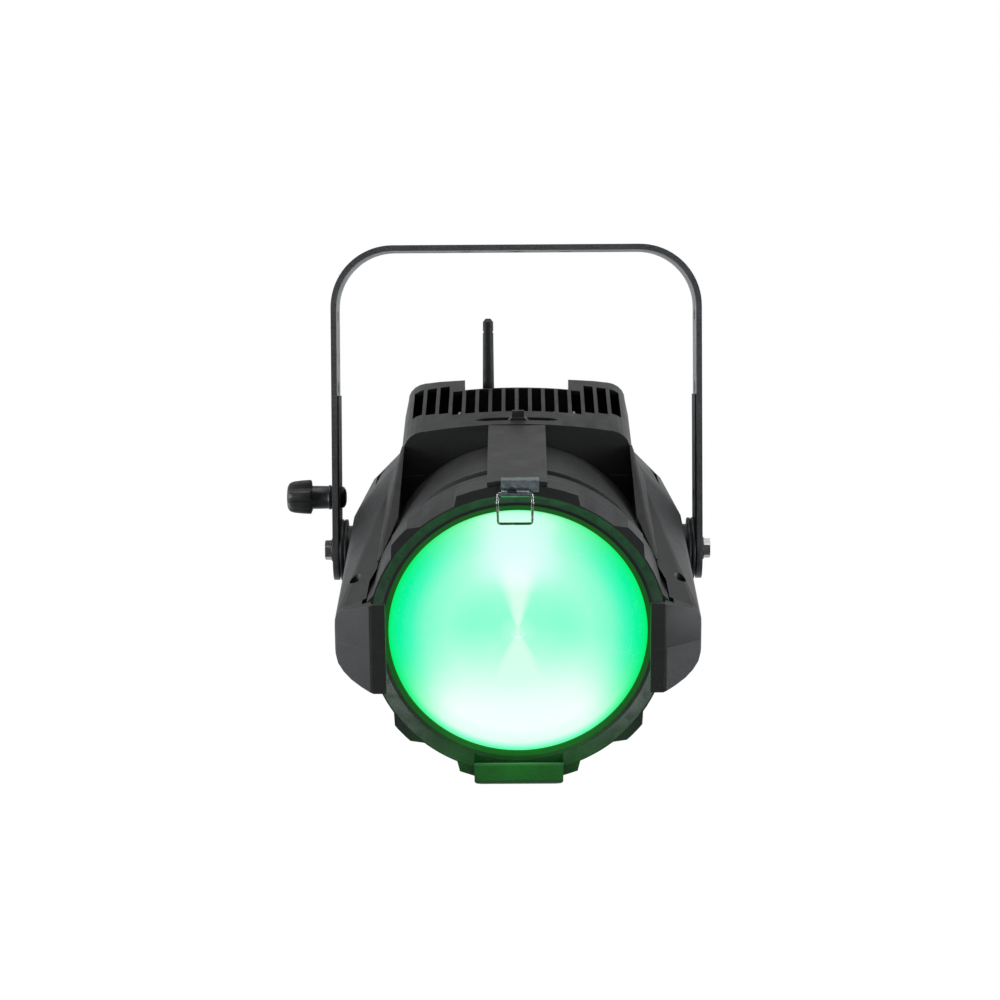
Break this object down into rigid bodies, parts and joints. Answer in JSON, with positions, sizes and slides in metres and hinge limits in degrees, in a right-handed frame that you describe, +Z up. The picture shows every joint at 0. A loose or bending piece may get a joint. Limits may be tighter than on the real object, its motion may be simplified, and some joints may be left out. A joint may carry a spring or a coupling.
{
  "type": "par can light",
  "caption": "Round-lens stage par light with a vented charcoal head, accessory holder, wire latch and antenna, tilting in a black U-shaped yoke.",
  "frame": {"origin": "centre of the clamp hole in the yoke's top bar, on the bar's upper face", "axes": "+Z up out of the bar, the lens faces -Y and 17.1 degrees down at rest, +X across the yoke with the clamp knob on -X"},
  "size_m": [0.2962, 0.2924, 0.3626],
  "materials": {
    "yoke": "fine textured black powder coat",
    "arm_liners": "black coated strip",
    "knob": "black moulded",
    "knob_washer": "zinc plated",
    "knob_bolt": "black oxide, domed head",
    "pivot_bolts": "stainless hexagon heads",
    "pivot_washers": "stainless",
    "friction_discs": "smooth black",
    "pivot_bosses": "dark cast",
    "upper_shell": "charcoal fine textured paint on cast alloy",
    "lower_shell": "charcoal fine textured paint on cast alloy",
    "bottom_arm": "charcoal fine textured paint on cast alloy",
    "barrel": "charcoal fine textured paint on cast alloy",
    "front_bezel": "charcoal fine textured",
    "lens": "clear, lit green from inside",
    "lens_gasket": "black",
    "top_bridge": "charcoal fine textured paint",
    "latch_plate": "zinc plated sheet",
    "latch_tube": "zinc plated tube",
    "wire_bail": "bright spring wire",
    "lock_slider": "black moulded",
    "slider_track": "black moulded",
    "antenna": "black sleeve",
    "antenna_knuckle": "black moulded",
    "antenna_base": "plated",
    "rear_panel": "black powder coat",
    "display_window": "dark clear window",
    "data_sockets": "satin nickel shells",
    "power_inlet": "blue moulded",
    "power_outlet": "grey moulded",
    "fuse_holder": "black moulded",
    "safety_loop": "zinc plated",
    "heat_sink": "plain extruded",
    "heat_pipes": "nickel plated copper",
    "led_board": "white coated metal-core board",
    "led_emitters": "clear domes",
    "light_chamber": "white inside",
    "diffuser": "frosted",
    "fan_frame": "black moulded",
    "fan_rotor": "black moulded",
    "fan_motor": "black moulded",
    "power_supply": "plain sheet case",
    "driver_board": "green circuit board",
    "control_board": "green circuit board",
    "shell_screws": "black socket heads",
    "panel_screws": "black socket heads",
    "bulkhead": "plain",
    "menu_buttons": "grey moulded"
  },
  "bodies": {
    "yoke": {"yoke": "yoke", "arm_liners": "arm_liners", "knob_bolt": "knob_bolt", "knob_washer": "knob_washer"},
    "head": {"pivot_bolts": "pivot_bolts", "pivot_washers": "pivot_washers", "friction_discs": "friction_discs", "pivot_bosses": "pivot_bosses", "upper_shell": "upper_shell", "lower_shell": "lower_shell", "bottom_arm": "bottom_arm", "barrel": "barrel", "front_bezel": "front_bezel", "lens": "lens", "lens_gasket": "lens_gasket", "top_bridge": "top_bridge", "latch_plate": "latch_plate", "latch_tube": "latch_tube", "slider_track": "slider_track", "antenna_base": "antenna_base", "rear_panel": "rear_panel", "display_window": "display_window", "data_sockets": "data_sockets", "power_inlet": "power_inlet", "power_outlet": "power_outlet", "fuse_holder": "fuse_holder", "safety_loop": "safety_loop", "heat_sink": "heat_sink", "heat_pipes": "heat_pipes", "led_board": "led_board", "led_emitters": "led_emitters", "light_chamber": "light_chamber", "diffuser": "diffuser", "fan_frame": "fan_frame", "fan_motor": "fan_motor", "power_supply": "power_supply", "driver_board": "driver_board", "control_board": "control_board", "shell_screws": "shell_screws", "panel_screws": "panel_screws", "bulkhead": "bulkhead"},
    "knob": {"knob": "knob"},
    "bail": {"wire_bail": "wire_bail"},
    "lock_slider": {"lock_slider": "lock_slider"},
    "antenna_foot": {"antenna_knuckle": "antenna_knuckle"},
    "antenna": {"antenna": "antenna"},
    "fan": {"fan_rotor": "fan_rotor"},
    "button_a": {"menu_buttons_a": "menu_buttons"},
    "button_b": {"menu_buttons_b": "menu_buttons"},
    "button_c": {"menu_buttons_c": "menu_buttons"},
    "button_d": {"menu_buttons_d": "menu_buttons"}
  },
  "joints": [
    {"name": "head_tilt", "type": "hinge", "parent": "yoke", "child": "head", "pos_m": [0, 0, -0.212], "axis": [1, 0, 0], "range_deg": [-107.1, 72.9]},
    {"name": "knob_turn", "type": "hinge", "parent": "yoke", "child": "knob", "pos_m": [-0.14, 0, -0.175], "axis": [1, 0, 0], "range_deg": [-540, 540]},
    {"name": "bail_swing", "type": "hinge", "parent": "head", "child": "bail", "pos_m": [-0.00145, -0.17567, -0.16623], "axis": [1, 0, 0], "range_deg": [-130, 0]},
    {"name": "slider_travel", "type": "slide", "parent": "head", "child": "lock_slider", "axis": [1, 0, 0], "range_m": [-0.013, 0.011]},
    {"name": "antenna_swivel", "type": "hinge", "parent": "head", "child": "antenna_foot", "pos_m": [-0.0202, 0.05353, -0.11392], "axis": [0, -0.294, 0.9558], "range_deg": [-25, 25]},
    {"name": "antenna_fold", "type": "hinge", "parent": "antenna_foot", "child": "antenna", "pos_m": [-0.0202, 0.05147, -0.10723], "axis": [1, 0, 0], "range_deg": [-72.9, 17.1]},
    {"name": "fan_spin", "type": "hinge", "parent": "head", "child": "fan", "pos_m": [0, 0.06911, -0.20539], "axis": [0, 0.9558, 0.294], "continuous": true},
    {"name": "button_a_press", "type": "slide", "parent": "head", "child": "button_a", "axis": [0, -0.9558, -0.294], "range_m": [0, 0.0012], "stiffness_N_per_m": 400, "springref_m": -0.0004},
    {"name": "button_b_press", "type": "slide", "parent": "head", "child": "button_b", "axis": [0, -0.9558, -0.294], "range_m": [0, 0.0012], "stiffness_N_per_m": 400, "springref_m": -0.0004},
    {"name": "button_c_press", "type": "slide", "parent": "head", "child": "button_c", "axis": [0, -0.9558, -0.294], "range_m": [0, 0.0012], "stiffness_N_per_m": 400, "springref_m": -0.0004},
    {"name": "button_d_press", "type": "slide", "parent": "head", "child": "button_d", "axis": [0, -0.9558, -0.294], "range_m": [0, 0.0012], "stiffness_N_per_m": 400, "springref_m": -0.0004}
  ]
}
